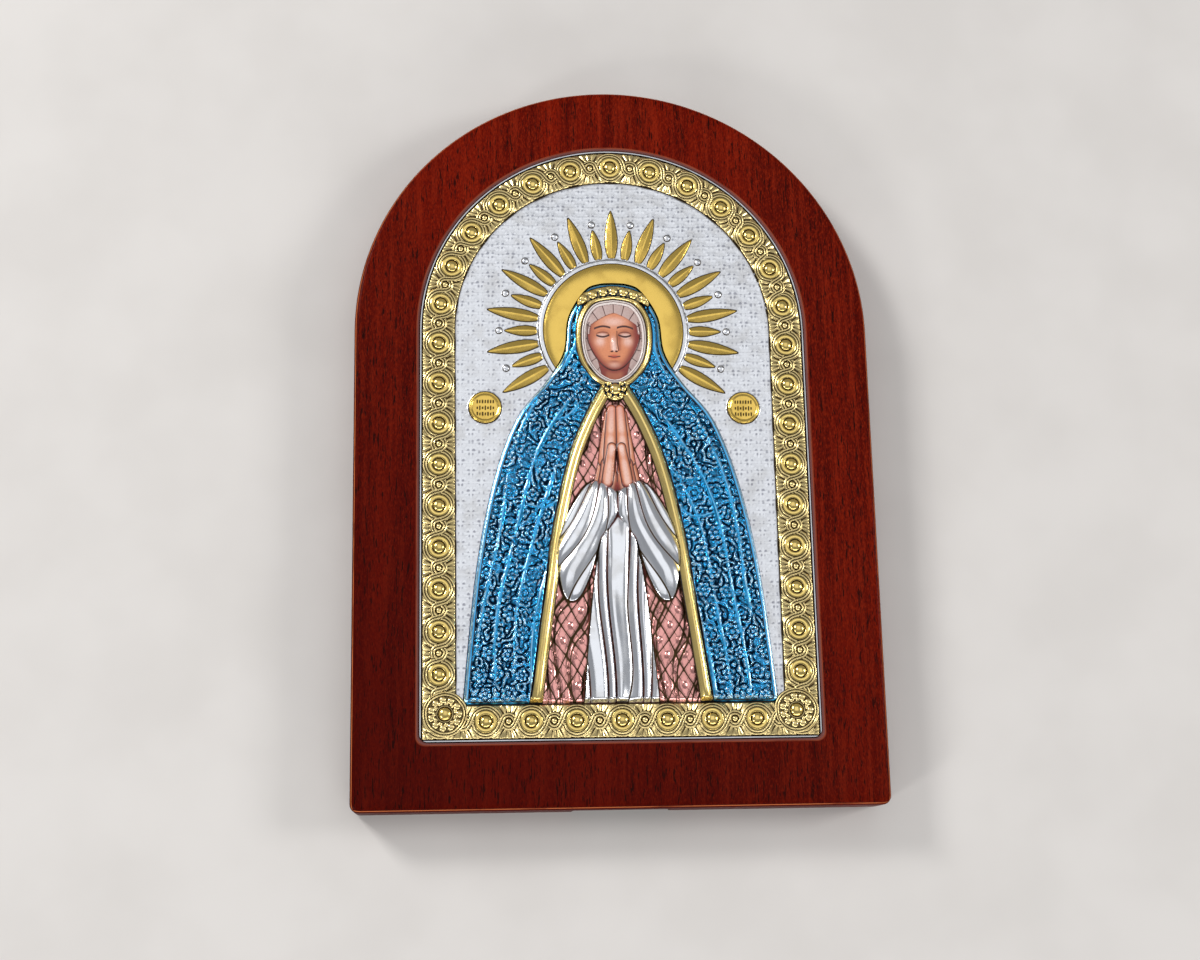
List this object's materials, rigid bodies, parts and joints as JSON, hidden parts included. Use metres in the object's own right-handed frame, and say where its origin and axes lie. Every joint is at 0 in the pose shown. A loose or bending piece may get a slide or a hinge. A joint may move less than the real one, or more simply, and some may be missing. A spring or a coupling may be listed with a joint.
{
  "type": "icon panel",
  "caption": "Small arched wooden panel with an embossed metal relief of a praying figure set into its front, to lay, hang or lean on a shelf.",
  "frame": {"origin": "centre of the board's back face, on which the panel lies", "axes": "+X to the viewer's right, +Y towards the arched top, +Z out of the relief"},
  "size_m": [0.12, 0.17, 0.0146],
  "materials": {
    "lacquered_wood": "red-brown open-pored veneer under gloss lacquer",
    "embossed_metal": "pressed sheet in silver and gold, with blue, rose and flesh colours on it"
  },
  "bodies": {
    "root": {"wooden_board": "lacquered_wood", "embossed_plate": "embossed_metal"}
  },
  "joints": []
}
